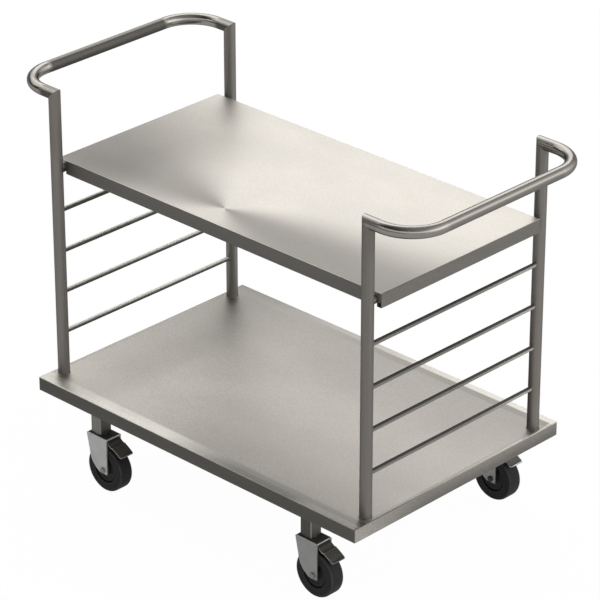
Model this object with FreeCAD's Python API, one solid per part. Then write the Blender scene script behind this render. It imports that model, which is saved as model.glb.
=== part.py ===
import FreeCAD, Part
import math
import os

# Two-tier stainless trolley: folded sheet deck and shelf, tube posts with a push handle at each end,
# cross rungs, and four braked swivel casters under square legs.
# Millimetres. X runs along the length, -Y is the front long side, Z is up, and the floor is Z = 0
# with the origin under the middle of the deck.

# Deck
deck_length = 900.0
deck_width = 600.0
deck_height = 210.0           # floor to the rim
deck_apron = 30.0
deck_sheet = 2.0
deck_fold = 0.5               # inner radius of the upright corners
deck_edge = 2.4               # bend radius of the rim
deck_return = 14.0            # flange folded in under the aprons
deck_sink = 1.5               # floor of the tray below the rim
lip_side = 16.0               # flat lip along the long sides
slope_side = 18.0             # slope from that lip down to the floor
lip_end = 4.0                 # flat lip along the ends
floor_corner = 8.0            # corner radius of the sunk floor
foot_margin = 0.3             # floor left free outside a post's foot

# Tube frame
tube_od = 25.0
tube_wall = 1.5
post_end_inset = 21.0         # post axis in from the deck's end
post_side_inset = 52.5        # post axis in from the deck's long side
handle_height = 850.0         # floor to the top of the handles
handle_overhang = 105.0       # outer face of a handle beyond the deck's end
handle_bend = 80.0            # bend radius at the tube's axis
rung_od = 10.0
rung_count = 4
rung_top_gap = 78.0           # axis of the highest rung below the shelf's aprons

# Shelf
shelf_height = 687.0          # floor to the shelf's top
shelf_apron = 30.0
shelf_sheet = 1.5
shelf_edge = 1.0              # bend radius of the shelf's upper edges
shelf_reach = 16.5            # shelf's end beyond the post axes
shelf_return = 12.0           # flange folded in under the long aprons
fold_rise = 8.0               # inner rise of the folded end edge
relief_half = 5.0             # half of the slot left open at each corner, beside the stud
stiffener_width = 60.0
stiffener_flange = 15.0
stiffener_depth = 18.0
stiffener_gap = 3.0           # stiffener's end short of the folded end edge

# Shelf fixings
stud_od = 16.0
stud_length = 7.5             # gap that the stud bridges between post and shelf
stud_pin_od = 6.0
bracket_sheet = 3.0
bracket_reach = 30.0          # bracket's inner end from the post axis
bracket_gap = 1.0             # bracket's lower edge above the folded end edge
nut_width = 10.0              # across the flats
nut_height = 5.0
nut_gap = 1.0                 # nut's lower flat above the folded end edge
pin_proud = 2.0               # thread that stands out of the nut

# Legs and rails
leg_size = 30.0
leg_wall = 2.0
leg_fold = 1.0                # inner corner radius of the leg tube
leg_end_inset = 150.0         # leg's axis in from the deck's end
leg_flange_gap = 6.0          # leg's outer face to the flange under the deck's apron
rail_width = 30.0
rail_depth = 20.0
rail_sheet = 2.0
insert_length = 30.0
insert_clearance = 0.2

# Caster
wheel_od = 100.0
tyre_width = 35.0
tyre_shoulder = 7.0
hub_od = 60.0
hub_rim_inset = 3.0           # rim of the wheel centre inside the tyre's side
hub_rim_depth = 4.0
hub_web = 20.0                # thickness of the wheel centre's web
boss_od = 28.0
boss_gap = 0.4                # boss to cheek, each side
bush_wall = 3.0
bush_gap = 0.2                # bush to cheek, each side
axle_od = 10.0
axle_head_rim = 1.25          # axle's formed head beyond the axle
axle_head = 3.5
axle_head_round = 1.2
trail = 24.5                  # axle from the swivel axis, towards +X
fork_plate = 3.0
wheel_side_gap = 0.5          # tyre to cheek
fork_headroom = 21.5          # tread to the underside of the crown
crown_back = 22.5             # crown from the swivel axis towards -X
fork_front = 12.0             # crown and cheeks from the axle towards +X
fork_foot = 7.5               # cheek's lower edge below the axle
foot_back = 8.7               # cheek's lower edge from the axle towards -X
waist_back = 38.5             # cheek's sloping edge: end of its straight part, from the axle
waist_rise = 34.0
belly_back = 29.5             # cheek's sloping edge: middle of its round part, from the axle
belly_rise = 8.8
fork_fold = 2.5               # bend radius of the crown's edges
race_od = 28.0
race_height = 2.0
kingpin_od = 12.0
kingpin_head_rim = 5.0        # kingpin's head beyond its shank
kingpin_head = 4.0
kingpin_play = 0.3            # head to crown
running_clearance = 0.05      # radial, for every turning fit

# Brake
brake_travel = 12.0           # degrees from released to pressed
brake_pin_od = 6.0
brake_pin_front = 2.0         # pin's axis from the axle towards +X
brake_pin_drop = 8.0          # pin's axis below the crown
knuckle_wall = 2.5
pedal_gap = 0.4               # knuckle to cheek
pedal_flare = 0.4             # wide part of the pedal beyond the knuckle, each side
pedal_front_gap = 2.5         # wide part of the pedal in front of the cheeks
pedal_sheet = 2.2
pedal_corner = 7.0            # corner radius of the lip, seen from above
neck_run = 11.0               # pedal's upper line from the top of the knuckle to the lip,
neck_fall = 3.2               # each stretch as a run along X and a fall along Z
dip_run = 8.6
dip_fall = 5.6
ridge_run = 7.5
ridge_fall = 1.7
slope_run = 12.5
slope_fall = 7.0
heel_run = 8.4
heel_fall = 5.2
lip_run = 4.3
lip_rise = 1.6
shoe_width = 22.0
shoe_back = 11.0              # shoe's ends from the brake pin towards +X
shoe_front = 23.0
shoe_clearance = 0.4          # shoe to tread with the pedal pressed

# Places that follow from the sizes above
half_length = deck_length / 2
half_width = deck_width / 2
floor_level = deck_height - deck_sink
under_deck = floor_level - deck_sheet
tube_r = tube_od / 2
post_x = half_length - post_end_inset
post_y = half_width - post_side_inset
handle_z = handle_height - tube_r
crossbar_x = half_length + handle_overhang - tube_r
shelf_half_x = post_x + shelf_reach
shelf_half_y = post_y - tube_r - stud_length
shelf_under = shelf_height - shelf_sheet
shelf_bottom = shelf_height - shelf_apron
fold_x = post_x + relief_half
fold_top = shelf_bottom + fold_rise
stud_z = fold_top + nut_gap + nut_width / 2
rung_pitch = (shelf_bottom - rung_top_gap - deck_height) / rung_count
leg_x = half_length - leg_end_inset
leg_y = half_width - deck_return - leg_flange_gap - leg_size / 2
axle_z = wheel_od / 2
crown_under = wheel_od + fork_headroom
fork_top = crown_under + fork_plate
leg_bottom = fork_top + race_height
cheek_inner = tyre_width / 2 + wheel_side_gap
cheek_outer = cheek_inner + fork_plate
brake_pin_z = crown_under - brake_pin_drop
knuckle_bore = brake_pin_od / 2 + running_clearance
knuckle_half = cheek_inner - pedal_gap
pedal_half = knuckle_half + pedal_flare

ENDS = {"left": -1, "right": 1}
SIDES = {"front": -1, "rear": 1}
CORNERS = {side + "_" + end: (ENDS[end], SIDES[side]) for side in SIDES for end in ENDS}

os.makedirs("parts", exist_ok=True)


def save(name, shape):
    shape.exportStep("parts/" + name + ".step")


def vec(x, y, z):
    return FreeCAD.Vector(x, y, z)


def box(low, high):
    """A box between two opposite corners, given in any order."""
    near = [min(a, b) for a, b in zip(low, high)]
    size = [abs(a - b) for a, b in zip(low, high)]
    return Part.makeBox(size[0], size[1], size[2], vec(*near))


def upright(radius, x, y, low, high):
    """A cylinder along Z."""
    return Part.makeCylinder(radius, high - low, vec(x, y, low), vec(0, 0, 1))


def crosswise(radius, x, z, low, high):
    """A cylinder along Y."""
    return Part.makeCylinder(radius, high - low, vec(x, low, z), vec(0, 1, 0))


def rounded_rectangle(half_x, half_y, radius, z):
    """A closed wire at height z, with round corners."""
    corners = []
    turn = math.sqrt(0.5)
    for sx, sy in ((1, 1), (-1, 1), (-1, -1), (1, -1)):
        centre = vec(sx * (half_x - radius), sy * (half_y - radius), z)
        along_x, along_y = vec(sx * radius, 0, 0), vec(0, sy * radius, 0)
        start, end = (along_x, along_y) if sx * sy > 0 else (along_y, along_x)
        middle = (along_x + along_y) * turn
        corners.append(Part.Arc(centre + start, centre + middle, centre + end).toShape())
    edges = []
    for corner, after in zip(corners, corners[1:] + corners[:1]):
        edges += [corner, Part.makeLine(corner.Vertexes[-1].Point, after.Vertexes[0].Point)]
    return Part.Wire(edges)


def slab(half_x, half_y, radius, low, high):
    """An upright block with round corners, centred on the Z axis."""
    return Part.Face(rounded_rectangle(half_x, half_y, radius, low)).extrude(vec(0, 0, high - low))


def prism_xz(points, low_y, high_y):
    """A profile in the XZ plane, pushed along Y."""
    loop = [vec(x, low_y, z) for x, z in points]
    return Part.Face(Part.makePolygon(loop + loop[:1])).extrude(vec(0, high_y - low_y, 0))


def ring_about_y(points):
    """A closed (radius, y) profile turned about the Y axis."""
    loop = [vec(radius, y, 0) for radius, y in points]
    return Part.Face(Part.makePolygon(loop + loop[:1])).revolve(vec(0, 0, 0), vec(0, 1, 0), 360)


def fuse(pieces):
    return pieces[0].multiFuse(pieces[1:]).removeSplitter()


def moved(shape, x, y, z):
    copy = shape.copy()
    copy.translate(vec(x, y, z))
    return copy


def base_deck():
    """Tray with aprons all round, folded in at the bottom, and a floor that dips below a flat lip."""
    apron_bottom = deck_height - deck_apron
    block = slab(half_length, half_width, deck_fold + deck_sheet, apron_bottom, deck_height)
    rim = [edge for edge in block.Edges if edge.BoundBox.ZMin > deck_height - deck_edge / 2]
    block = block.makeFillet(deck_edge, rim)
    inside = slab(half_length - deck_sheet, half_width - deck_sheet, deck_fold,
                  apron_bottom + deck_sheet, under_deck)
    mouth = slab(half_length - deck_return, half_width - deck_return, deck_fold,
                 apron_bottom, apron_bottom + deck_sheet)
    floor_x = post_x + tube_r + foot_margin
    floor_y = half_width - lip_side - slope_side
    lip_x, lip_y = half_length - lip_end, half_width - lip_side
    lip_corner = floor_corner + lip_x - floor_x
    sunk = Part.makeLoft([rounded_rectangle(floor_x, floor_y, floor_corner, floor_level),
                          rounded_rectangle(lip_x, lip_y, lip_corner, deck_height)], True, True)
    return block.cut(inside).cut(mouth).cut(sunk)


def mitre_wedge(end, keep_post):
    """The space on one side of a mitre, which rises at 45 degrees towards the middle of the trolley."""
    far = 2 * tube_od
    inner, outer = end * (post_x - far), end * (post_x + far)
    rest = -handle_height if keep_post else handle_height + far
    points = [(inner, handle_z + far), (outer, handle_z - far), (outer, rest), (inner, rest)]
    return prism_xz(points, -half_width, half_width)


def post(end, side):
    x, y, top = end * post_x, side * post_y, handle_height + tube_r
    tube = upright(tube_r, x, y, floor_level, top)
    bore = upright(tube_r - tube_wall, x, y, floor_level, top)
    return tube.cut(bore).common(mitre_wedge(end, True))


def handle(end):
    """A U of tube that lies flat at handle height, mitred onto the posts of one end."""
    start, bar_x = end * (post_x - tube_od), end * crossbar_x
    bend_x, bend_y = end * (crossbar_x - handle_bend), post_y - handle_bend
    turn = handle_bend * math.sqrt(0.5)
    mid_x, mid_y = bend_x + end * turn, bend_y + turn

    def at(x, y):
        return vec(x, y, handle_z)

    path = Part.Wire([
        Part.makeLine(at(start, -post_y), at(bend_x, -post_y)),
        Part.Arc(at(bend_x, -post_y), at(mid_x, -mid_y), at(bar_x, -bend_y)).toShape(),
        Part.makeLine(at(bar_x, -bend_y), at(bar_x, bend_y)),
        Part.Arc(at(bar_x, bend_y), at(mid_x, mid_y), at(bend_x, post_y)).toShape(),
        Part.makeLine(at(bend_x, post_y), at(start, post_y)),
    ])

    def along(radius):
        circle = Part.makeCircle(radius, at(start, -post_y), vec(end, 0, 0))
        return path.makePipeShell([Part.Wire(circle)], True, False)

    tube = along(tube_r).cut(along(tube_r - tube_wall))
    low, high = (bend_x, -half_width, handle_z - tube_od), (bar_x + end * tube_od, half_width, handle_height)
    return tube.common(fuse([mitre_wedge(end, False), box(low, high)]))


def rung(end, level):
    bar = crosswise(rung_od / 2, end * post_x, deck_height + level * rung_pitch, -post_y, post_y)
    for side in SIDES.values():
        bar = bar.cut(upright(tube_r, end * post_x, side * post_y, floor_level, handle_height))
    return bar


def top_shelf():
    """Flat sheet with long aprons folded in at the bottom, and end aprons folded in and up again."""
    apron_x, lower = post_x - relief_half, shelf_bottom + shelf_sheet
    pieces = [box((-shelf_half_x, -shelf_half_y, shelf_under), (shelf_half_x, shelf_half_y, shelf_height))]
    for side in SIDES.values():
        outer, inner = side * shelf_half_y, side * (shelf_half_y - shelf_sheet)
        tip = side * (shelf_half_y - shelf_return)
        pieces.append(box((-apron_x, outer, shelf_bottom), (apron_x, inner, shelf_under)))
        pieces.append(box((-apron_x, outer, shelf_bottom), (apron_x, tip, lower)))
    for end in ENDS.values():
        outer, inner = end * shelf_half_x, end * (shelf_half_x - shelf_sheet)
        fold, rise = end * fold_x, end * (fold_x + shelf_sheet)
        pieces.append(box((outer, -shelf_half_y, shelf_bottom), (inner, shelf_half_y, shelf_under)))
        pieces.append(box((outer, -shelf_half_y, shelf_bottom), (fold, shelf_half_y, lower)))
        pieces.append(box((fold, -shelf_half_y, shelf_bottom), (rise, shelf_half_y, fold_top)))
    sheet = fuse(pieces)
    upper = [edge for edge in sheet.Edges if edge.BoundBox.ZMin > shelf_height - shelf_sheet / 2]
    return sheet.makeFillet(min(shelf_edge, 0.8 * shelf_sheet), upper)


def shelf_stiffener():
    """A hat channel along the middle of the shelf, with its flanges against the sheet."""
    half, wall, depth = stiffener_width / 2, shelf_sheet, stiffener_depth
    web = half - stiffener_flange
    outline = [(-half, 0), (-half, -wall), (-web, -wall), (-web, -depth), (web, -depth), (web, -wall),
               (half, -wall), (half, 0), (web - wall, 0), (web - wall, wall - depth),
               (wall - web, wall - depth), (wall - web, 0)]
    start = fold_x - stiffener_gap
    loop = [vec(-start, y, shelf_under + z) for y, z in outline]
    return Part.Face(Part.makePolygon(loop + loop[:1])).extrude(vec(2 * start, 0, 0))


def shelf_bracket(end, side):
    """A plate inside a corner of the shelf, between the aprons, with a hole for the stud's thread."""
    face_y = side * (shelf_half_y - shelf_sheet)
    plate = box((end * (post_x - bracket_reach), face_y, fold_top + bracket_gap),
                (end * (shelf_half_x - shelf_sheet), face_y - side * bracket_sheet, shelf_under))
    return plate.cut(crosswise(stud_pin_od / 2, end * post_x, stud_z, -half_width, half_width))


def shelf_stud(end, side):
    """A spacer shaped to the post, against the shelf, with a thread that passes through the bracket."""
    tip = shelf_half_y - shelf_sheet - bracket_sheet - nut_height - pin_proud
    spacer = crosswise(stud_od / 2, end * post_x, stud_z, shelf_half_y, post_y)
    thread = crosswise(stud_pin_od / 2, end * post_x, stud_z, tip, shelf_half_y)
    stud = spacer.fuse(thread)
    if side < 0:
        stud = stud.mirror(vec(0, 0, 0), vec(0, 1, 0))
    return stud.cut(upright(tube_r, end * post_x, side * post_y, floor_level, handle_height))


def shelf_nut(end, side):
    start = side * (shelf_half_y - shelf_sheet - bracket_sheet)
    corner = nut_width / math.sqrt(3)
    loop = []
    for step in range(6):
        angle = math.radians(60 * step)
        loop.append(vec(end * post_x + corner * math.cos(angle), start, stud_z + corner * math.sin(angle)))
    nut = Part.Face(Part.makePolygon(loop + loop[:1])).extrude(vec(0, -side * nut_height, 0))
    return nut.cut(crosswise(stud_pin_od / 2, end * post_x, stud_z, -half_width, half_width))


def caster_leg():
    half, bore = leg_size / 2, leg_size / 2 - leg_wall
    tube = slab(half, half, leg_fold + leg_wall, leg_bottom, under_deck)
    return tube.cut(slab(bore, bore, leg_fold, leg_bottom, under_deck))


def leg_insert():
    half, top = leg_size / 2 - leg_wall - insert_clearance, leg_bottom + insert_length
    plug = slab(half, half, leg_fold, leg_bottom, top)
    return plug.cut(upright(kingpin_od / 2, 0, 0, leg_bottom, top))


def cross_rail(end):
    """A channel between the legs of one end, open downwards."""
    half, reach, low = rail_width / 2, leg_y - leg_size / 2, under_deck - rail_depth
    web, ceiling = half - rail_sheet, under_deck - rail_sheet
    block = box((end * leg_x - half, -reach, low), (end * leg_x + half, reach, under_deck))
    return block.cut(box((end * leg_x - web, -reach, low), (end * leg_x + web, reach, ceiling)))


def kingpin():
    head_top = crown_under - kingpin_play
    head = upright(kingpin_od / 2 + kingpin_head_rim, 0, 0, head_top - kingpin_head, head_top)
    return head.fuse(upright(kingpin_od / 2, 0, 0, head_top, leg_bottom + insert_length))


def swivel_race():
    ring = upright(race_od / 2, 0, 0, fork_top, leg_bottom)
    return ring.cut(upright(kingpin_od / 2, 0, 0, fork_top, leg_bottom))


def fork():
    """Crown and cheeks bent from one plate; the axle is at x = 0 and the swivel axis at x = -trail."""
    back, foot = -trail - crown_back, axle_z - fork_foot

    def at(x, z):
        return vec(x, -cheek_outer, z)

    waist, heel = at(-waist_back, axle_z + waist_rise), at(-foot_back, foot)
    belly = at(-belly_back, axle_z + belly_rise)
    corners = [heel, at(fork_front, foot), at(fork_front, fork_top), at(back, fork_top), waist]
    lines = [Part.makeLine(a, b) for a, b in zip(corners, corners[1:])]
    outline = Part.Wire(lines + [Part.Arc(waist, belly, heel).toShape()])
    block = Part.Face(outline).extrude(vec(0, 2 * cheek_outer, 0))
    crown = [edge for edge in block.Edges if edge.BoundBox.ZMin > fork_top - fork_fold]
    block = block.makeFillet(fork_fold, crown)
    room = box((back, -cheek_inner, 0), (fork_front, cheek_inner, crown_under))
    plate = block.cut(room)
    plate = plate.cut(upright(kingpin_od / 2 + running_clearance, -trail, 0, crown_under, fork_top))
    plate = plate.cut(crosswise(axle_od / 2, 0, axle_z, -cheek_outer, cheek_outer))
    return plate.cut(brake_pin())


def axle_rivet():
    rivet = [crosswise(axle_od / 2, 0, axle_z, -cheek_outer, cheek_outer)]
    for side in SIDES.values():
        end = side * (cheek_outer + axle_head)
        near, far = sorted((side * cheek_outer, end))
        head = crosswise(axle_od / 2 + axle_head_rim, 0, axle_z, near, far)
        rim = [edge for edge in head.Edges if abs(edge.BoundBox.YMin - end) < axle_head / 2
               and edge.BoundBox.YLength < axle_head / 2]
        rivet.append(head.makeFillet(axle_head_round, rim))
    return fuse(rivet)


def tyre():
    outer, inner, half = wheel_od / 2, hub_od / 2, tyre_width / 2
    ring = ring_about_y([(inner, -half), (outer, -half), (outer, half), (inner, half)])
    shoulders = [edge for edge in ring.Edges if edge.BoundBox.XLength > wheel_od - tyre_shoulder
                 and edge.BoundBox.YLength < tyre_shoulder]
    return moved(ring.makeFillet(tyre_shoulder, shoulders), 0, 0, axle_z)


def wheel_hub():
    """Rim, thin web and boss, alike on both sides."""
    bore = axle_od / 2 + running_clearance + bush_wall
    rim, boss = hub_od / 2, boss_od / 2
    half_rim, half_web = tyre_width / 2 - hub_rim_inset, hub_web / 2
    half_boss = cheek_inner - boss_gap
    side = [(bore, half_boss), (boss, half_boss), (boss, half_web), (rim - hub_rim_depth, half_web),
            (rim - hub_rim_depth, half_rim), (rim, half_rim)]
    other = [(radius, -y) for radius, y in reversed(side)]
    return moved(ring_about_y(side + other), 0, 0, axle_z)


def wheel_bush():
    bore, half = axle_od / 2 + running_clearance, cheek_inner - bush_gap
    outer = bore + bush_wall
    sleeve = ring_about_y([(bore, -half), (outer, -half), (outer, half), (bore, half)])
    return moved(sleeve, 0, 0, axle_z)


def brake_pin():
    return crosswise(brake_pin_od / 2, brake_pin_front, brake_pin_z, -cheek_outer, cheek_outer)


def pedal_upper_line():
    """Points of the pedal's upper face, from the top of the knuckle to the lip."""
    points = [(brake_pin_front, brake_pin_z + knuckle_bore + knuckle_wall)]
    for run, fall in ((neck_run, neck_fall), (dip_run, dip_fall), (ridge_run, ridge_fall),
                      (slope_run, slope_fall), (heel_run, heel_fall), (lip_run, -lip_rise)):
        points.append((points[-1][0] + run, points[-1][1] - fall))
    return points


def brake_shoe(line):
    """A block under the pedal, hollowed so that it lies along the tread when the pedal is pressed."""
    half = shoe_width / 2
    ceiling = [(x, z - pedal_sheet / 2) for x, z in line]
    below_pedal = prism_xz(ceiling + [(line[-1][0], 0), (line[0][0], 0)], -half, half)
    block = box((brake_pin_front + shoe_back, -half, axle_z), (brake_pin_front + shoe_front, half, fork_top))
    tread = crosswise(wheel_od / 2 + shoe_clearance, 0, axle_z, -half, half)
    tread.rotate(vec(brake_pin_front, 0, brake_pin_z), vec(0, 1, 0), -brake_travel)
    return block.common(below_pedal).cut(tread)


def brake_pedal():
    """Knuckle on the pin, pressed tread plate, and brake shoe."""
    line = pedal_upper_line()
    under = [(x, z - pedal_sheet) for x, z in reversed(line)]
    step = fork_front + pedal_front_gap
    neck = box((brake_pin_front, -knuckle_half, 0), (step, knuckle_half, fork_top))
    tip = line[-1][0]
    wide = box((step, -pedal_half, 0), (tip, pedal_half, fork_top))
    corners = [edge for edge in wide.Edges if edge.BoundBox.XMin > tip - lip_run
               and edge.BoundBox.ZLength > fork_top / 2]
    wide = wide.makeFillet(pedal_corner, corners)
    plate = prism_xz(line + under, -pedal_half, pedal_half).common(fuse([neck, wide]))

    def on_pin(radius):
        return crosswise(radius, brake_pin_front, brake_pin_z, -knuckle_half, knuckle_half)

    pedal = fuse([on_pin(knuckle_bore + knuckle_wall), plate, brake_shoe(line)])
    return pedal.cut(on_pin(knuckle_bore))


def at_legs(make):
    """One copy of a leg-centred piece at each leg, as a group."""
    return Part.makeCompound([moved(make(), end * leg_x, side * leg_y, 0) for end, side in CORNERS.values()])


def at_posts(make):
    """One piece at each post, as a group."""
    return Part.makeCompound([make(end, side) for end, side in CORNERS.values()])


def build_frame():
    save("base_deck", base_deck())
    save("top_shelf", top_shelf())
    save("shelf_stiffener", shelf_stiffener())
    save("shelf_brackets", at_posts(shelf_bracket))
    save("shelf_studs", at_posts(shelf_stud))
    save("shelf_nuts", at_posts(shelf_nut))
    save("leg_inserts", at_legs(leg_insert))
    save("kingpins", at_legs(kingpin))
    save("swivel_races", at_legs(swivel_race))
    for name, (end, side) in CORNERS.items():
        save("post_" + name, post(end, side))
        save("caster_leg_" + name, moved(caster_leg(), end * leg_x, side * leg_y, 0))
    for name, end in ENDS.items():
        save("handle_" + name, handle(end))
        save("cross_rail_" + name, cross_rail(end))
        for level in range(1, rung_count + 1):
            save("rung_%s_%d" % (name, level), rung(end, level))


def build_casters():
    pieces = {"fork": fork(), "axle_rivet": axle_rivet(), "tyre": tyre(), "wheel_hub": wheel_hub(),
              "wheel_bush": wheel_bush(), "brake_pin": brake_pin(), "brake_pedal": brake_pedal()}
    for name, (end, side) in CORNERS.items():
        for piece, shape in pieces.items():
            save(piece + "_" + name, moved(shape, end * leg_x + trail, side * leg_y, 0))


build_frame()
build_casters()
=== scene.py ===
import math
import bmesh
import bpy
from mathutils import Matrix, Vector


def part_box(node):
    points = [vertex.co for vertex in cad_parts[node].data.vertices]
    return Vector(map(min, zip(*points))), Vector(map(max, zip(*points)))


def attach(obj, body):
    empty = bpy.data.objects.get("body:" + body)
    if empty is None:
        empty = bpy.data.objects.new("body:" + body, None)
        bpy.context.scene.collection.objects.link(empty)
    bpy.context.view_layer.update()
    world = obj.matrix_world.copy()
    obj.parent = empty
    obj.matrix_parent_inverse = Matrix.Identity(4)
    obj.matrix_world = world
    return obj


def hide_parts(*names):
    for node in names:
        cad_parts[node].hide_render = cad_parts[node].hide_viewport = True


# Two-tier stainless trolley: finishes for the CAD pieces, small welds and pressed details, and a plain
# studio. Metres, in the frame of the CAD model: X along the length, -Y the front, Z up from the floor.

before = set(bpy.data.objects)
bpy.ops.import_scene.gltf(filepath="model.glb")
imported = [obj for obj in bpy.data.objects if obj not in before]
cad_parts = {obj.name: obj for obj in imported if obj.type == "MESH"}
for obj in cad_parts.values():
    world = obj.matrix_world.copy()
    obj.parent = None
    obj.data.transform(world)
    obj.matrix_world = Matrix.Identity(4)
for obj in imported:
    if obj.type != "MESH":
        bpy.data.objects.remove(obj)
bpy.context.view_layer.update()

# Camera: turn about Z from looking along +Y, tilt down, and a point that its axis passes through
CAMERA_TURN = math.radians(43.980)
CAMERA_TILT = math.radians(26.703)
CAMERA_AIM = Vector((-0.0017, 0.0171, 0.430))
CAMERA_DISTANCE = 6.8274
CAMERA_LENS = 202.22
SENSOR = 36.0

# Floor and lamp
FLOOR_REACH = 60.0
FLOOR_PALE = (0.90, 0.90, 0.90)
FLOOR_WHITE_SHARE = 0.978     # share of plain white in what is seen of the floor
WHITE = (1.0, 1.0, 1.0)
LAMP_PLACE = Vector((-5.0, 1.8, 5.3))
LAMP_AIM = Vector((0.0, 0.0, 0.5))
LAMP_WIDTH, LAMP_HEIGHT = 13.0, 5.0
LAMP_BRIGHTNESS = 2.2         # of a white card right in front of the lamp

# Surround: brightness, directions from the trolley, and how far a ray has to point that way or up
EVEN_LIGHT, DIM_LIGHT = 0.55, 0.02
DIM_SIDE, DIM_SPAN = Vector((-0.62, -0.70, 0.25)).normalized(), (0.0, 0.85)
GLOW = 1.4
GLOW_SIDE, GLOW_SPAN = (0.78, 0.62, 0.0), (0.35, 1.0)
BAND = 1.9
BAND_SIDE, BAND_SPAN = (0.766, -0.643, 0.0), (-0.02, 0.02)
BAND_FOOT, BAND_HEAD = (0.20, 0.26), (0.53, 0.48)

# Linear colours
TUBE_SIDE = (0.206, 0.195, 0.179)
# painted highlight: tubes are painted lighter on top than on their sides
TUBE_TOP_PAINTED_LIGHT = (0.332, 0.317, 0.292)
TUBE_HEAT = (0.125, 0.098, 0.078)
# painted highlight on top of the left handle's ends
TUBE_ENDS_PAINTED_HIGHLIGHT = (0.560, 0.538, 0.495)
# painted shade on the left handle's straight run
LEFT_HANDLE_PAINTED_SHADE = (0.115, 0.110, 0.101)
# painted highlight on the left handle's bends
LEFT_BEND_PAINTED_HIGHLIGHT = (0.245, 0.234, 0.215)
# painted highlight on the right handle's bends
RIGHT_BEND_PAINTED_HIGHLIGHT = (0.240, 0.229, 0.210)
RUNG = (0.235, 0.226, 0.207)
# painted shade on top of the right rungs
RUNG_TOP_PAINTED_SHADE = (0.095, 0.091, 0.083)
# painted highlight on top of the left rungs and at the rear of the right rungs
RUNG_PAINTED_HIGHLIGHT = (0.600, 0.585, 0.540)
LEG = (0.100, 0.096, 0.088)
# painted light on the left legs' front faces
LEG_FRONT_PAINTED_LIGHT = (0.215, 0.207, 0.190)
# aprons: painted shade, darker than the sheet tops
APRON = (0.162, 0.154, 0.140)
# painted highlight on the right end aprons
APRON_PAINTED_HIGHLIGHT = (0.378, 0.360, 0.328)
# painted shade on the front aprons
APRON_FRONT_PAINTED_SHADE = (0.116, 0.111, 0.100)
DECK_TOP = (0.326, 0.309, 0.282)
# painted highlight on the deck's lips
DECK_LIP_PAINTED_HIGHLIGHT = (0.540, 0.522, 0.477)
# painted shade on the deck's front lip to the right
DECK_LIP_PAINTED_SHADE = (0.250, 0.242, 0.222)
# painted sheen on the shelf top
SHELF_PAINTED_SHEEN = (0.464, 0.440, 0.401)
# painted shade in the shelf top's sheen
SHELF_PAINTED_SHADE = (0.204, 0.192, 0.175)
STEEL_GRAZING = (0.45, 0.45, 0.45)
# painted highlight on rounded edges and corners
EDGE_PAINTED_HIGHLIGHT = (0.720, 0.700, 0.645)
ZINC = (0.310, 0.310, 0.305)
# painted shade on the tops of plated parts
ZINC_TOP_PAINTED_SHADE = (0.075, 0.075, 0.073)
RUBBER = (0.015, 0.015, 0.015)
RUBBER_WORN = (0.036, 0.036, 0.036)
HUB = (0.006, 0.006, 0.006)
RIVET = (0.205, 0.182, 0.158)
# painted shade: the rear right rivet head painted black
RIVET_PAINTED_SHADE = (0.012, 0.012, 0.012)
PEDAL = (0.075, 0.071, 0.062)
# random scuffs, and a painted highlight on pedal edges
PEDAL_SCUFF_AND_HIGHLIGHT = (0.360, 0.350, 0.325)
# painted highlight on the rear right pedal's tip
PEDAL_TIP_PAINTED_HIGHLIGHT = (0.900, 0.900, 0.880)
NYLON = (0.620, 0.600, 0.540)

# Finishes
POLISHED_ROUGH = 0.24
SHEET_ROUGH, APRON_ROUGH = 0.46, 0.70
BLACK_SPECULAR = 0.14         # of rubber and plastic
# Values of a noise, and of upward facing on a folded sheet, between which a tone changes; on a sheet, from
# the painted shade of the aprons to the lighter painted top
NOISE, NOISE_WIDE = (0.30, 0.70), (0.25, 0.75)
SHEET_TURN = (0.30, 0.85)
# Drawn lines of a tube: so many lumps to a metre along X, Y and Z
ALONG_Z, ALONG_Y, ANY_WAY = (500, 500, 5), (500, 5, 500), (14, 14, 600)
# Painted sheen of the shelf: a painted highlight in a fan about one point, painted shade along one line
# through it
SHEEN_CENTRE = (-0.031, -0.165, 0.0)
SHEEN_SHADE_LINE = math.radians(175.0)

CORNERS = [side + "_" + end for side in ("front", "rear") for end in ("left", "right")]
RUNG_LEVELS = range(1, 5)

DECK_RIM = 0.034              # lip and slope along the deck's long sides
DECK_LIP_WIDTH = 0.016        # the lip alone
HANDLE_BEND = 0.080           # bend radius at the handle tube's axis
BEND_BEFORE, BEND_AFTER = 0.012, 0.004    # a bend's tone starts and is full so far from the bend's start
HALF_BLEND = 0.1              # either side of the middle, where the tones of two halves blend
SHARP_ANGLE = math.radians(35)
SUNK = 0.0003                 # how far an added piece reaches into the surface that carries it

# Weld beads: their size, and one ripple for so much of the bar's radius
FOOT_WELD, RUNG_WELD = 0.0012, 0.0008
RIPPLE_RADIUS = 0.0004
RIPPLE_SWELL = 0.10
RIPPLE_STEPS = 6

# One side of a tyre and of a wheel centre: radius, and distance from the wheel's middle plane
TYRE_SIDE = ((0.0300, 0.0138), (0.0300, 0.0158), (0.0306, 0.0164), (0.0320, 0.0164), (0.0326, 0.0159),
             (0.0440, 0.0159), (0.0448, 0.0166), (0.0460, 0.0166), (0.0472, 0.0163), (0.0484, 0.0155),
             (0.0493, 0.0143), (0.0498, 0.0130), (0.0500, 0.0118), (0.0500, 0.0003))
HUB_SIDE = ((0.00805, 0.0176), (0.0136, 0.0176), (0.0140, 0.0172), (0.0140, 0.0146), (0.0150, 0.0138),
            (0.0196, 0.0138), (0.0200, 0.0143), (0.0212, 0.0143), (0.0216, 0.0138), (0.0272, 0.0138),
            (0.0277, 0.0095), (0.0293, 0.0095), (0.0295, 0.0138), (0.0300, 0.0138))
WHEEL_STEPS = 96

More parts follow.
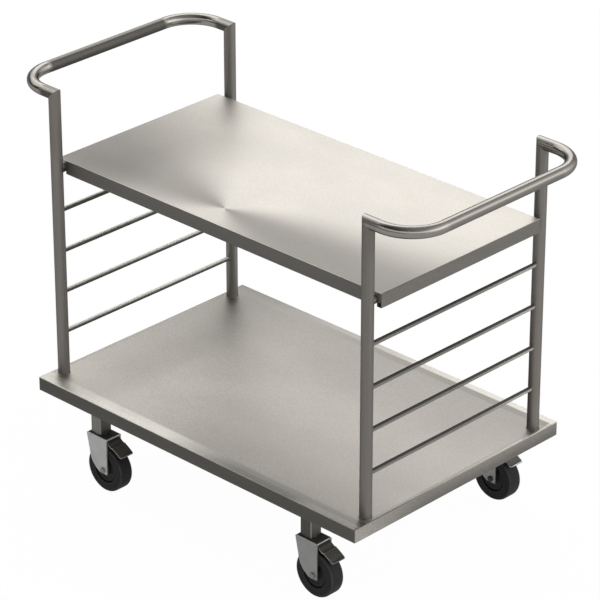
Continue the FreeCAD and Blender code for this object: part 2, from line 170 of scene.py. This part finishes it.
# Upper face of a pedal in front of its fork: distance from the axle along X, and height
PEDAL_LINE = ((0.0145, 0.11487), (0.0216, 0.11025), (0.0291, 0.10855), (0.0416, 0.10155), (0.0500, 0.09635),
              (0.0543, 0.09795))
PEDAL_LINE_STEPS = 14         # between each two of these points
PEDAL_CORNER = 0.007          # corner radius of the lip
PEDAL_SKIN = 0.0007           # how far the pressed skin stands above that face
PEDAL_SKIN_SUNK = 0.0008      # how far it reaches below it
PEDAL_SKIN_OVER = 0.0002      # how far it stands out at the sides
# Height of a ridge across the pedal, its distance from the axle and its half width
PEDAL_RIDGE, PEDAL_GROOVE = (0.0007, 0.0270, 0.0010), (-0.0005, 0.0305, 0.0008)
# Ribs on the lip: where they start, the length in which they rise, their height and number, and how far
# out they reach as a share of the half width
RIBS_START, RIBS_RISE, RIB_HEIGHT, RIBS, RIBS_REACH = 0.0455, 0.0015, 0.0005, 9, 0.9
# Rolled side edges: drop, and start and width as shares of the half width
ROLL_DROP, ROLL_START, ROLL_WIDTH = 0.0009, 0.94, 0.06
PEDAL_ACROSS = [-1.0, -0.985, -0.95] + [k / 24 for k in range(-22, 23)] + [0.95, 0.985, 1.0]


class Nodes:
    """A node tree, with a short call for each kind of node that it needs."""

    def __init__(self, tree):
        self.tree = tree

    def add(self, kind, inputs=None, **properties):
        made = self.tree.nodes.new(kind)
        for key, value in properties.items():
            setattr(made, key, value)
        for key, value in (inputs or {}).items():
            self.set(made.inputs[key], value)
        return made

    def set(self, socket, value):
        if isinstance(value, bpy.types.NodeSocket):
            self.tree.links.new(value, socket)
        elif hasattr(value, "__len__") and socket.type == "RGBA":
            socket.default_value = (*value, 1.0)
        else:
            socket.default_value = value

    def split(self, vector):
        return self.add("ShaderNodeSeparateXYZ", {0: vector}).outputs

    def math(self, operation, first, second=0.0):
        return self.add("ShaderNodeMath", {0: first, 1: second}, operation=operation).outputs[0]

    def times(self, first, second):
        return self.math("MULTIPLY", first, second)

    def vector(self, operation, first, second=(0.0, 0.0, 0.0)):
        return self.add("ShaderNodeVectorMath", {0: first, 1: second}, operation=operation).outputs[0]

    def dot(self, first, second):
        inputs = {0: first, 1: second}
        return self.add("ShaderNodeVectorMath", inputs, operation="DOT_PRODUCT").outputs["Value"]

    def fade(self, value, low, high, start=0.0, end=1.0):
        """start where value is at low, end where it is at high, and a smooth step between."""
        limits = {"Value": value, "From Min": low, "From Max": high, "To Min": start, "To Max": end}
        return self.add("ShaderNodeMapRange", limits, interpolation_type="SMOOTHSTEP").outputs["Result"]


class Finish(Nodes):
    """One material of the trolley."""

    def __init__(self, name):
        self.material = bpy.data.materials.new(name)
        self.material.use_nodes = True
        super().__init__(self.material.node_tree)
        self.shader = self.tree.nodes["Principled BSDF"]
        coordinates = self.add("ShaderNodeTexCoord")
        self.place = coordinates.outputs["Object"]
        self.x, self.y, self.z = self.split(self.place)
        self.facing_x, self.facing_y, self.facing_z = self.split(coordinates.outputs["Normal"])

    def mix(self, share, first, second):
        return self.add("ShaderNodeMix", {0: share, 6: first, 7: second}, data_type="RGBA").outputs[2]

    def scaled(self, colour, factor):
        return self.add("ShaderNodeVectorMath", {0: colour, 3: factor}, operation="SCALE").outputs[0]

    def noise(self, stretch, detail):
        """Noise between 0 and 1, with so many lumps to a metre along X, Y and Z."""
        place = self.vector("MULTIPLY", self.place, stretch)
        return self.add("ShaderNodeTexNoise", {"Vector": place, "Scale": 1.0, "Detail": detail}).outputs[0]

    def bump(self, height, distance):
        made = self.add("ShaderNodeBump", {"Height": height, "Distance": distance, "Strength": 1.0})
        self.set(self.shader.inputs["Normal"], made.outputs[0])

    def finish(self, colour, roughness, metallic=0.0, **constants):
        self.set(self.shader.inputs["Base Color"], colour)
        self.set(self.shader.inputs["Roughness"], roughness)
        self.set(self.shader.inputs["Metallic"], metallic)
        for key, value in constants.items():
            self.set(self.shader.inputs[key.replace("_", " ")], value)
        return self.material


def rim_of(f):
    """1 on rounded edges between a level and an upright face, 0 on the faces themselves."""
    level = f.math("ABSOLUTE", f.facing_z)
    return f.times(f.fade(level, 0.12, 0.45), f.fade(level, 0.93, 0.995, 1.0, 0.0))


def left_half(f):
    return f.fade(f.x, HALF_BLEND, -HALF_BLEND)


def right_half(f, start=0.0, end=1.0):
    return f.fade(f.x, -HALF_BLEND, HALF_BLEND, start, end)


def front_half(f):
    return f.fade(f.y, HALF_BLEND, -HALF_BLEND)


def faces_right(f, start=0.0, end=1.0):
    return f.fade(f.facing_x, 0.6, 0.9, start, end)


def faces_front(f):
    return f.fade(f.facing_y, -0.6, -0.9)


def bend_start():
    """Where the right handle's rear bend starts, along X and along Y."""
    low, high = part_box("handle_right")
    tube = (high.z - low.z) / 2
    return high.x - tube - HANDLE_BEND, high.y - tube - HANDLE_BEND


def past(f, place, start):
    """1 on a handle farther from the middle than the start of a bend, either way, and 0 nearer."""
    return f.fade(f.math("ABSOLUTE", place), start - BEND_BEFORE, start + BEND_AFTER)


def bends(f):
    """1 on the handles' bends, 0 on their straight runs."""
    start_x, start_y = bend_start()
    return f.times(past(f, f.x, start_x), past(f, f.y, start_y))


def tube_steel(name, grain, rough, side=TUBE_SIDE, top=TUBE_TOP_PAINTED_LIGHT, turn=(0.45, 0.95), contrast=0.10,
               relief=0.00002, polish=None):
    """Satin tube with fine drawn lines along it. Its colour changes from side to top as it turns upwards:
    the top is a painted highlight, lighter than the side.
    """
    f = Finish(name)
    lines, clouds, speckle = f.noise(grain, 5.0), f.noise((9, 9, 7), 3.0), f.noise((900, 900, 900), 2.0)
    # painted light: side and top are lit and shaded copies of one steel, mixed by how far the face turns
    # upwards
    colour = f.mix(f.fade(f.facing_z, *turn), side(f) if callable(side) else side, top)
    heat = f.times(f.fade(clouds, 0.50, 0.72), f.fade(lines, 0.45, 0.75, contrast, 6 * contrast))
    colour = f.mix(heat, colour, TUBE_HEAT)
    colour = f.scaled(colour, f.fade(lines, *NOISE_WIDE, 1.0 - contrast, 1.0 + contrast))
    colour = f.scaled(colour, f.fade(speckle, *NOISE, 1.0 - contrast / 2, 1.0 + contrast / 2))
    roughness = f.fade(lines, *NOISE_WIDE, rough - contrast / 4, rough + contrast / 4)
    if polish:
        roughness = f.math("SUBTRACT", roughness, f.times(polish(f), rough - POLISHED_ROUGH))
    f.bump(lines, relief)
    return f.finish(colour, roughness, 1.0, Specular_Tint=STEEL_GRAZING)


def left_handle_painted_side(f):
    """Painted shade along the straight run, a painted highlight on the bends and on top of the ends."""
    ends = f.times(past(f, f.y, bend_start()[1]), f.fade(f.facing_z, 0.40, 0.75))
    return f.mix(bends(f), f.mix(ends, LEFT_HANDLE_PAINTED_SHADE, TUBE_ENDS_PAINTED_HIGHLIGHT), LEFT_BEND_PAINTED_HIGHLIGHT)


def right_handle_painted_side(f):
    """A painted highlight, brightest on the bends."""
    return f.mix(bends(f), TUBE_SIDE, RIGHT_BEND_PAINTED_HIGHLIGHT)


def post_side(f):
    """Painted shade: the front right post is painted a little darker than the others."""
    front_right = f.times(right_half(f), front_half(f))
    return f.scaled(TUBE_SIDE, f.fade(front_right, 0.0, 1.0, 1.0, 0.88))


def rung_painted_side(f):
    """Painted highlight, lighter towards the rear."""
    return f.mix(f.fade(f.y, 0.0, 0.24, 0.0, 0.6), RUNG, RUNG_PAINTED_HIGHLIGHT)


def leg_side(f):
    """Dark, with painted light on the front faces of the left legs, a painted highlight on the front corner
    of the right legs, and on the right legs painted light on their right faces and painted shade on the
    others.
    """
    front = f.times(f.fade(f.facing_y, -0.5, -0.9), left_half(f))
    # painted highlight on the right legs' front corner
    corner = f.times(f.fade(f.times(f.facing_x, f.facing_y), -0.20, -0.40), right_half(f))
    corner = f.times(corner, f.fade(f.facing_y, 0.0, -0.3, 0.0, 0.22))
    # painted light on the right legs' right faces, painted shade on their other faces
    right_leg = f.fade(f.facing_x, 0.5, 0.9, 0.88, 1.28)
    plain = f.scaled(LEG, right_half(f, 1.0, right_leg))
    return f.mix(corner, f.mix(front, plain, LEG_FRONT_PAINTED_LIGHT), EDGE_PAINTED_HIGHLIGHT)


def sheet_steel(name, top, side, front_rim, contrast):
    """Folded sheet: a grainy top painted lighter than its darker aprons, as painted light and shade, a
    painted highlight on its rounded edges, at the right end to the rear, and a painted shade line on the
    right end's rim to the front.
    """
    f = Finish(name)
    speckle, clouds = f.noise((430, 430, 430), 2.0), f.noise((5, 7, 40), 3.0)
    lines = f.noise((25, 25, 1400), 4.0)
    # painted light and shade: top and aprons are lit and shaded copies of one sheet
    colour = f.mix(f.fade(f.facing_z, *SHEET_TURN), side(f), top(f))
    # painted highlight on the rims, stronger on the front and at the right end towards the rear
    rim = rim_of(f)
    right_end = f.times(f.fade(f.facing_x, 0.1, 0.4), f.fade(f.x, 0.0, 0.3))
    bright_elsewhere = f.fade(f.facing_y, -0.1, -0.4, 0.15, front_rim)
    bright_right = f.fade(f.y, -0.10, 0.25, 0.0, 0.15)
    bright = f.fade(right_end, 0.0, 1.0, bright_elsewhere, bright_right)
    colour = f.mix(f.times(rim, bright), colour, EDGE_PAINTED_HIGHLIGHT)
    # painted shade line on the right end's rim towards the front
    painted_shade = f.times(f.times(rim, right_end), f.fade(f.y, 0.05, -0.25))
    colour = f.scaled(colour, f.fade(painted_shade, 0.0, 1.0, 1.0, 0.35))
    colour = f.scaled(colour, f.fade(speckle, *NOISE_WIDE, 1.0 - contrast, 1.0 + contrast))
    colour = f.scaled(colour, f.fade(clouds, *NOISE, 0.96, 1.04))
    roughness = f.fade(f.facing_z, *SHEET_TURN, APRON_ROUGH, SHEET_ROUGH)
    roughness = f.math("ADD", roughness, f.fade(speckle, *NOISE, -0.04, 0.04))
    f.bump(f.math("ADD", speckle, f.times(lines, 0.5)), 0.00003)
    return f.finish(colour, roughness, 1.0)


def deck_side(f):
    """Aprons: painted shade along the front, a painted highlight on the right end towards its front corner,
    and on the right end painted light at the top and painted shade at the foot towards the rear.
    """
    low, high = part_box("base_deck")
    right = f.times(faces_right(f), f.fade(f.y, low.y, low.y + 0.22, 0.95, 0.20))
    # painted light and shade on the right end: lighter at the top, darker at the foot, towards the rear
    foot, head = f.fade(f.y, -0.25, -0.05, 1.0, 0.88), f.fade(f.y, -0.25, -0.05, 0.95, 1.26)
    shade = faces_right(f, 1.0, f.fade(f.z, low.z, high.z, foot, head))
    colour = f.mix(right, f.mix(faces_front(f), APRON, APRON_FRONT_PAINTED_SHADE), APRON_PAINTED_HIGHLIGHT)
    return f.scaled(colour, shade)


def shelf_side(f):
    """Aprons, with a little painted light on the right end."""
    return f.mix(faces_right(f, 0.0, 0.15), APRON, APRON_PAINTED_HIGHLIGHT)


def deck_top(f):
    """Grainy floor with painted shade towards the rear, at the left end and on the rear slope; painted
    highlights on the rear lip, the right end's lip and the front lip at the left, and a darker painted tone
    on the front lip to the right.
    """
    low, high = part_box("base_deck")
    front_lip, front_rim = low.y + DECK_LIP_WIDTH, low.y + DECK_RIM
    rear_lip, rear_rim = high.y - DECK_LIP_WIDTH, high.y - DECK_RIM

    # painted shade along the rear slope, towards the right
    slope = f.fade(f.y, rear_rim - 0.004, rear_rim + 0.004)
    slope = f.times(slope, f.fade(f.x, -0.30, 0.10, 0.0, 0.18))
    # painted shade: the floor darker towards the rear and at the left end
    floor = f.scaled(DECK_TOP, f.fade(f.y, -0.36, 0.42, 1.25, 0.72))
    floor = f.scaled(floor, f.fade(f.x, -0.44, -0.15, 0.80, 1.0))
    floor = f.scaled(floor, f.math("SUBTRACT", 1.0, slope))
    # painted highlights on the rear lip and on the right end's lip
    rear = f.times(f.fade(f.y, rear_lip - 0.003, rear_lip + 0.001), f.fade(f.x, -0.35, 0.30, 0.0, 0.8))
    end = f.times(f.fade(f.x, high.x - 0.008, high.x - 0.005), f.fade(f.y, -0.05, 0.25, 0.0, 0.6))
    floor = f.mix(end, f.mix(rear, floor, DECK_LIP_PAINTED_HIGHLIGHT), DECK_LIP_PAINTED_HIGHLIGHT)

    # front lip: painted highlight at the left and middle, painted shade to the right
    front = f.fade(f.y, front_rim + 0.004, front_rim - 0.006)
    bright = f.times(f.fade(f.x, -0.40, -0.22, 0.55, 1.0), f.fade(f.x, -0.10, 0.14, 1.0, 0.0))
    lip_highlight = f.scaled(DECK_LIP_PAINTED_HIGHLIGHT, f.fade(f.x, -0.24, -0.08, 1.0, 1.2))
    level = f.times(f.fade(f.y, front_lip + 0.001, front_lip - 0.001), f.fade(f.x, 0.24, 0.36))
    painted_shade = f.scaled(DECK_LIP_PAINTED_SHADE, f.fade(level, 0.0, 1.0, 1.0, 1.45))
    return f.mix(front, floor, f.mix(bright, painted_shade, lip_highlight))


def shelf_top(f):
    """Painted sheen: a painted highlight across the shade line, painted shade along it and towards the
    front.
    """
    across = Vector((-math.sin(SHEEN_SHADE_LINE), math.cos(SHEEN_SHADE_LINE), 0.0))
    flat = f.vector("MULTIPLY", f.place, (1, 1, 0))
    arm = f.vector("NORMALIZE", f.vector("SUBTRACT", flat, SHEEN_CENTRE))
    turn = f.math("ABSOLUTE", f.dot(arm, across))
    start, end = f.fade(f.x, 0.05, 0.40, 0.05, 0.12), f.fade(f.x, 0.05, 0.40, 0.92, 0.52)
    end = f.fade(f.y, -0.17, -0.05, end, f.fade(f.x, -0.10, 0.40, 0.88, 0.52))
    painted_shade = f.scaled(SHELF_PAINTED_SHADE, f.fade(f.x, -0.33, -0.20, 1.0, 1.12))
    sheen = f.mix(f.fade(turn, start, end), painted_shade, SHELF_PAINTED_SHEEN)
    # painted shade towards the front
    return f.scaled(sheen, f.fade(f.y, -0.20, -0.10, 0.85, 1.0))


def zinc_plate():
    """Plated steel, with painted light on the left casters, painted shade on the right casters and on top,
    and a painted highlight on its rounded edges.
    """
    f = Finish("zinc_plate")
    speckle, clouds = f.noise((500, 500, 500), 3.0), f.noise((40, 40, 40), 4.0)
    # painted light on the left casters, painted shade on the right casters
    sides = f.scaled(ZINC, right_half(f, 1.15, 0.71))
    # painted shade on top
    colour = f.mix(f.fade(f.facing_z, 0.93, 0.99), sides, ZINC_TOP_PAINTED_SHADE)
    # painted highlight on the rounded edges
    colour = f.mix(f.times(rim_of(f), 0.30), colour, EDGE_PAINTED_HIGHLIGHT)
    colour = f.scaled(colour, f.fade(clouds, *NOISE, 0.92, 1.08))
    colour = f.scaled(colour, f.fade(speckle, *NOISE, 0.94, 1.06))
    f.bump(speckle, 0.00003)
    return f.finish(colour, f.fade(clouds, *NOISE, 0.36, 0.48), 0.55)


def rivet_head(name, colour):
    """Duller than the plated fork that it stands on."""
    f = Finish(name)
    scratches = f.noise((300, 300, 300), 4.0)
    colour = f.scaled(colour, f.fade(scratches, *NOISE, 0.85, 1.15))
    f.bump(scratches, 0.00004)
    return f.finish(colour, f.fade(scratches, *NOISE, 0.40, 0.55), 0.5)


def weld_steel():
    """Bead left as welded: straw and grey heat colours."""
    f = Finish("weld_steel")
    clouds, scale = f.noise((150, 150, 150), 3.0), f.noise((1500, 1500, 1500), 2.0)
    colour = f.mix(f.fade(clouds, 0.40, 0.65), TUBE_SIDE, TUBE_HEAT)
    f.bump(scale, 0.00004)
    return f.finish(colour, f.fade(scale, *NOISE, 0.38, 0.55), 1.0)


def tyre_rubber():
    """Rubber, scuffed paler on its shoulders."""
    f = Finish("tyre_rubber")
    speckle, scuffs = f.noise((900, 900, 900), 3.0), f.noise((60, 60, 60), 4.0)
    sideways = f.math("ABSOLUTE", f.facing_y)
    shoulder = f.times(f.fade(sideways, 0.15, 0.6), f.fade(sideways, 0.97, 0.85))
    colour = f.mix(shoulder, RUBBER, RUBBER_WORN)
    colour = f.scaled(colour, f.fade(scuffs, *NOISE, 0.8, 1.3))
    colour = f.scaled(colour, f.fade(speckle, *NOISE, 0.9, 1.1))
    f.bump(speckle, 0.00008)
    return f.finish(colour, f.fade(scuffs, *NOISE, 0.62, 0.78), Specular_IOR_Level=BLACK_SPECULAR)


def hub_plastic():
    """Black moulded plastic."""
    f = Finish("hub_plastic")
    grain, scuffs = f.noise((1200, 1200, 1200), 2.0), f.noise((80, 80, 80), 3.0)
    colour = f.scaled(HUB, f.fade(scuffs, *NOISE, 0.8, 1.4))
    f.bump(grain, 0.00004)
    return f.finish(colour, f.fade(scuffs, *NOISE, 0.42, 0.55), Specular_IOR_Level=BLACK_SPECULAR)


def pedal_steel(name, edges):
    """Dark pressed sheet with random scuffs. Its side edges and the rear right pedal's tip carry a painted
    highlight of so much.
    """
    f = Finish(name)
    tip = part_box("brake_pedal_rear_right")[1].x
    grain, scuffs = f.noise((700, 60, 700), 3.0), f.noise((120, 120, 120), 4.0)
    colour = f.mix(f.fade(scuffs, 0.62, 0.80, 0.0, 0.15), PEDAL, PEDAL_SCUFF_AND_HIGHLIGHT)
    # painted highlight on the side edges
    sides = f.fade(f.math("ABSOLUTE", f.facing_y), 0.55, 0.85, 0.0, edges)
    colour = f.mix(sides, colour, PEDAL_SCUFF_AND_HIGHLIGHT)
    # painted highlight on the rear right pedal's tip
    lip = f.times(f.fade(f.y, 0.0, 0.1), f.fade(f.x, tip - 0.008, tip - 0.005, 0.0, edges))
    colour = f.mix(f.times(lip, f.fade(f.facing_z, 0.8, 0.5)), colour, PEDAL_TIP_PAINTED_HIGHLIGHT)
    colour = f.scaled(colour, f.fade(grain, *NOISE, 0.85, 1.15))
    f.bump(grain, 0.00004)
    return f.finish(colour, f.fade(scuffs, *NOISE, 0.34, 0.46), 0.2)


def bush_nylon():
    """Off-white bearing plastic."""
    f = Finish("bush_nylon")
    colour = f.scaled(NYLON, f.fade(f.noise((300, 300, 300), 3.0), *NOISE, 0.94, 1.06))
    return f.finish(colour, 0.45)


def dress(prefixes, material):
    """Gives every CAD node whose name starts with one of the prefixes this material."""
    for name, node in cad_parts.items():
        if name.startswith(prefixes):
            node.data.materials.clear()
            node.data.materials.append(material)


def middle(node):
    low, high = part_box(node)
    return (low + high) / 2


def piece(name, mesh, material, body):
    """A new smooth object from a bmesh, on a body and with the given finish."""
    bmesh.ops.recalc_face_normals(mesh, faces=mesh.faces)
    data = bpy.data.meshes.new(name)
    mesh.to_mesh(data)
    mesh.free()
    data.shade_smooth()
    data.set_sharp_from_angle(angle=SHARP_ANGLE)
    data.materials.append(material)
    made = bpy.data.objects.new(name, data)
    bpy.context.scene.collection.objects.link(made)
    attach(made, body)
    return made


def turned(mesh, profile, place, steps):
    """A closed profile of (radius, height) points turned once round; place puts each point in the frame."""
    rows = []
    for step in range(steps):
        angle = 2 * math.pi * step / steps
        rows.append([mesh.verts.new(place(radius, height, angle)) for radius, height in profile])
    for here, after in zip(rows, rows[1:] + rows[:1]):
        for k in range(len(profile)):
            mesh.faces.new((here[k - 1], after[k - 1], after[k], here[k]))


def bead(mesh, radius, size, place):
    """A rippled weld bead round a bar, in the corner that it makes with the face that it stands on."""
    arc = [math.radians(angle) for angle in (12, 30, 48, 66, 84)]
    profile = [(radius - SUNK, -SUNK), (radius + size, -SUNK)]
    profile += [(radius + size * math.cos(angle), size * math.sin(angle)) for angle in arc]
    profile += [(radius - SUNK, size)]
    ripples = round(radius / RIPPLE_RADIUS)

    def rippled(r, height, angle):
        swell = 1.0 + RIPPLE_SWELL * math.sin(ripples * angle)
        return place(radius + (r - radius) * swell, height * swell, angle)

    turned(mesh, profile, rippled, RIPPLE_STEPS * ripples)


def foot_weld(mesh, post):
    """The bead between a post's foot and the deck."""
    low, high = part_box(post)
    centre = (low + high) / 2

    def place(r, height, angle):
        return centre.x + r * math.cos(angle), centre.y + r * math.sin(angle), low.z + height

    bead(mesh, (high.y - low.y) / 2, FOOT_WELD, place)


def side_weld(mesh, post, bar_z, bar_radius):
    """The bead between a post's side and a bar that leaves it towards the middle of the trolley."""
    low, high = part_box(post)
    centre, tube = (low + high) / 2, (high.y - low.y) / 2
    inwards = -math.copysign(1.0, centre.y)

    def place(r, height, angle):
        x = r * math.cos(angle)
        y = math.sqrt(tube * tube - x * x) + height
        return centre.x + x, centre.y + inwards * y, bar_z + r * math.sin(angle)

    bead(mesh, bar_radius, RUNG_WELD, place)


def welds():
    """Beads at the posts' feet and the rungs' ends."""
    material = weld_steel()
    low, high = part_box("rung_left_1")
    rung = (high.z - low.z) / 2
    feet, ends = bmesh.new(), bmesh.new()
    for corner in CORNERS:
        post, end = "post_" + corner, corner.split("_")[1]
        foot_weld(feet, post)
        for level in RUNG_LEVELS:
            side_weld(ends, post, middle("rung_%s_%d" % (end, level)).z, rung)
    piece("post_foot_welds", feet, material, "frame")
    piece("rung_welds", ends, material, "frame")


def wheel(corner, rubber, plastic):
    """A moulded tyre and wheel centre, turned from finer profiles than the solids that they stand for."""
    axle = middle("tyre_" + corner)

    def place(r, height, angle):
        return axle.x + r * math.cos(angle), axle.y + height, axle.z + r * math.sin(angle)

    for node, side, material, slot in (("tyre_", TYRE_SIDE, rubber, "tyre_rubber"),
                                       ("wheel_hub_", HUB_SIDE, plastic, "hub_plastic")):
        mesh = bmesh.new()
        turned(mesh, [(r, -y) for r, y in side] + list(reversed(side)), place, WHEEL_STEPS)
        made = piece("moulded_" + node + corner, mesh, material, "wheel_" + corner)
        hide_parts(node + corner)


def smooth_line(points, steps):
    """A smooth curve through the points, with so many steps between each two."""
    ends = [points[0]] + list(points) + [points[-1]]
    curve = []
    for before, start, stop, after in zip(ends, ends[1:], ends[2:], ends[3:]):
        for step in range(steps):
            t = step / steps
            curve.append(tuple(0.5 * (2 * b + (c - a) * t + (2 * a - 5 * b + 4 * c - d) * t ** 2
                                      + (3 * b - a - 3 * c + d) * t ** 3)
                               for a, b, c, d in zip(before, start, stop, after)))
    return curve + [points[-1]]


def wave(x, height, place, width):
    return height * math.exp(-((x - place) / width) ** 2)


def pedal_tread(corner, material):
    """The pressed upper skin of a pedal: a cross ridge in its hollow, ribs on its lip and rolled sides."""
    axle = middle("tyre_" + corner)
    low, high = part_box("brake_pedal_" + corner)
    widest = (high.y - low.y) / 2 + PEDAL_SKIN_OVER
    corner_start = PEDAL_LINE[-1][0] - PEDAL_CORNER
    mesh = bmesh.new()
    tops, unders = [], []
    for x, z in smooth_line(PEDAL_LINE, PEDAL_LINE_STEPS):
        ridge = wave(x, *PEDAL_RIDGE) + wave(x, *PEDAL_GROOVE)
        on_lip = max(0.0, min(1.0, (x - RIBS_START) / RIBS_RISE))
        into_corner = min(PEDAL_CORNER, max(0.0, x - corner_start))
        half = widest - PEDAL_CORNER + math.sqrt(PEDAL_CORNER ** 2 - into_corner ** 2)
        row = []
        for share in PEDAL_ACROSS:
            rib = 0.0
            if abs(share) < RIBS_REACH:
                rib = RIB_HEIGHT * on_lip * max(0.0, math.cos(RIBS * math.pi * share))
            roll = ROLL_DROP * max(0.0, (abs(share) - ROLL_START) / ROLL_WIDTH) ** 2
            top = z + PEDAL_SKIN + ridge + rib - roll
            row.append(mesh.verts.new((axle.x + x, axle.y + half * share, top)))
        tops.append(row)
        bottom = z - PEDAL_SKIN_SUNK
        unders.append([mesh.verts.new((axle.x + x, axle.y + y, bottom)) for y in (-half, half)])
    for here, after, under, under_after in zip(tops, tops[1:], unders, unders[1:]):
        for k in range(1, len(PEDAL_ACROSS)):
            mesh.faces.new((here[k - 1], here[k], after[k], after[k - 1]))
        mesh.faces.new((here[0], after[0], under_after[0], under[0]))
        mesh.faces.new((here[-1], under[1], under_after[1], after[-1]))
        mesh.faces.new((under[0], under_after[0], under_after[1], under[1]))
    for row, under in ((tops[0], unders[0]), (tops[-1], unders[-1])):
        mesh.faces.new(row + under[::-1])
    piece("pedal_tread_" + corner, mesh, material, "pedal_" + corner)


def studio():
    """White floor that keeps the shadow, a surround and one soft box."""
    reach = FLOOR_REACH
    floor_mesh = bpy.data.meshes.new("floor")
    corners = [(-reach, -reach, 0), (reach, -reach, 0), (reach, reach, 0), (-reach, reach, 0)]
    floor_mesh.from_pydata(corners, [], [(0, 1, 2, 3)])
    floor = bpy.data.objects.new("floor", floor_mesh)
    bpy.context.scene.collection.objects.link(floor)
    floor_mesh.materials.append(floor_white())
    surround()
    soft_box()


def floor_white():
    """A pale floor. Seen directly or in a reflection it is mostly plain white, with a trace of shadow."""
    material = bpy.data.materials.new("floor_white")
    material.use_nodes = True
    nodes = Nodes(material.node_tree)
    nodes.tree.nodes.clear()
    pale = nodes.add("ShaderNodeBsdfDiffuse", {"Color": FLOOR_PALE}).outputs[0]
    white = nodes.add("ShaderNodeEmission", {"Color": WHITE}).outputs[0]
    path = nodes.add("ShaderNodeLightPath").outputs
    seen = nodes.math("MAXIMUM", path["Is Camera Ray"], path["Is Glossy Ray"])
    seen = nodes.math("MAXIMUM", seen, path["Is Transmission Ray"])
    share = nodes.times(seen, FLOOR_WHITE_SHARE)
    blend = nodes.add("ShaderNodeMixShader", {0: share, 1: pale, 2: white}).outputs[0]
    nodes.add("ShaderNodeOutputMaterial", {"Surface": blend})
    return material


def surround():
    """Even grey light, dim from the left front, with a glow at the right rear and a low bright band."""
    world = bpy.data.worlds.new("surround")
    bpy.context.scene.world = world
    world.use_nodes = True
    nodes = Nodes(world.node_tree)
    direction = nodes.add("ShaderNodeTexCoord").outputs["Generated"]
    height = nodes.split(direction)[2]
    even = nodes.fade(nodes.dot(direction, DIM_SIDE), *DIM_SPAN, EVEN_LIGHT, DIM_LIGHT)
    glow = nodes.fade(nodes.dot(direction, GLOW_SIDE), *GLOW_SPAN, 0.0, GLOW)
    band = nodes.times(nodes.fade(height, *BAND_FOOT), nodes.fade(height, *BAND_HEAD))
    band = nodes.times(band, nodes.fade(nodes.dot(direction, BAND_SIDE), *BAND_SPAN))
    total = nodes.math("ADD", nodes.times(band, BAND), nodes.math("ADD", even, glow))
    background = nodes.tree.nodes["Background"]
    nodes.set(background.inputs["Color"], WHITE)
    nodes.set(background.inputs["Strength"], total)


def soft_box():
    """A wide area lamp to the left that faces the trolley."""
    lamp = bpy.data.lights.new("left_box", "AREA")
    lamp.shape = "RECTANGLE"
    lamp.size, lamp.size_y = LAMP_WIDTH, LAMP_HEIGHT
    lamp.energy = LAMP_BRIGHTNESS * math.pi * LAMP_WIDTH * LAMP_HEIGHT
    box = bpy.data.objects.new("left_box", lamp)
    bpy.context.scene.collection.objects.link(box)
    box.location = LAMP_PLACE
    box.rotation_euler = (LAMP_AIM - LAMP_PLACE).to_track_quat("-Z", "Y").to_euler()
    box.visible_camera = False


def camera():
    lens = bpy.data.cameras.new("camera")
    lens.sensor_width = SENSOR
    lens.lens = CAMERA_LENS
    eye = bpy.data.objects.new("camera", lens)
    bpy.context.scene.collection.objects.link(eye)
    back = Vector((math.sin(CAMERA_TURN) * math.cos(CAMERA_TILT),
                   -math.cos(CAMERA_TURN) * math.cos(CAMERA_TILT), math.sin(CAMERA_TILT)))
    eye.location = CAMERA_AIM + back * CAMERA_DISTANCE
    eye.rotation_euler = (math.pi / 2 - CAMERA_TILT, 0.0, CAMERA_TURN)
    bpy.context.scene.camera = eye


dress(("post",), tube_steel("post_tube", ALONG_Z, rough=0.56, side=post_side))
dress(("caster_leg",), tube_steel("leg_tube", ALONG_Z, rough=0.56, side=leg_side))
dress(("handle_left",), tube_steel("handle_satin", ANY_WAY, rough=0.66, side=left_handle_painted_side, turn=(0.86, 0.96),
                                   contrast=0.03, relief=0.000003, polish=bends))
dress(("handle_right",), tube_steel("handle_polished", ANY_WAY, rough=0.25, side=right_handle_painted_side,
                                    turn=(0.80, 0.97), contrast=0.02, relief=0.000001))
dress(("cross_rail",), tube_steel("cross_bar", ALONG_Y, rough=0.75, top=TUBE_SIDE))
# left rungs: a painted highlight on top; right rungs: painted shade on top
dress(("rung_left",), tube_steel("rung_top_painted_light", ALONG_Y, rough=0.60, side=LEG, top=RUNG_PAINTED_HIGHLIGHT,
                                 turn=(0.48, 0.78), contrast=0.04, relief=0.000003))
dress(("rung_right",), tube_steel("rung_top_painted_shade", ALONG_Y, rough=0.75, side=rung_painted_side, top=RUNG_TOP_PAINTED_SHADE,
                                  turn=(0.30, 0.65), contrast=0.04, relief=0.000003))
dress(("shelf_s", "shelf_nut"), tube_steel("shelf_fixing", ALONG_Y, rough=0.38))
dress(("base_deck",), sheet_steel("deck_sheet", deck_top, deck_side, front_rim=0.25, contrast=0.18))
dress(("top_shelf",), sheet_steel("shelf_sheet", shelf_top, shelf_side, front_rim=0.65, contrast=0.11))
dress(("fork", "kingpin", "swivel_race", "leg_insert", "brake_pin", "shelf_bracket"), zinc_plate())
dress(("axle_rivet",), rivet_head("rivet_head", RIVET))
# painted shade: the rear right rivet head is painted black
dress(("axle_rivet_rear_right",), rivet_head("rivet_painted_shade", RIVET_PAINTED_SHADE))
dress(("wheel_bush",), bush_nylon())
# pedal bodies without the painted edge highlight, treads with it
dress(("brake_pedal",), pedal_steel("pedal_body", edges=0.0))
tyre_finish, hub_finish = tyre_rubber(), hub_plastic()
tread_finish = pedal_steel("pedal_tread", edges=0.8)
dress(("tyre",), tyre_finish)
dress(("wheel_hub",), hub_finish)

welds()
for caster in CORNERS:
    wheel(caster, tyre_finish, hub_finish)
    pedal_tread(caster, tread_finish)

studio()
camera()
bpy.context.scene.view_settings.view_transform = "Standard"
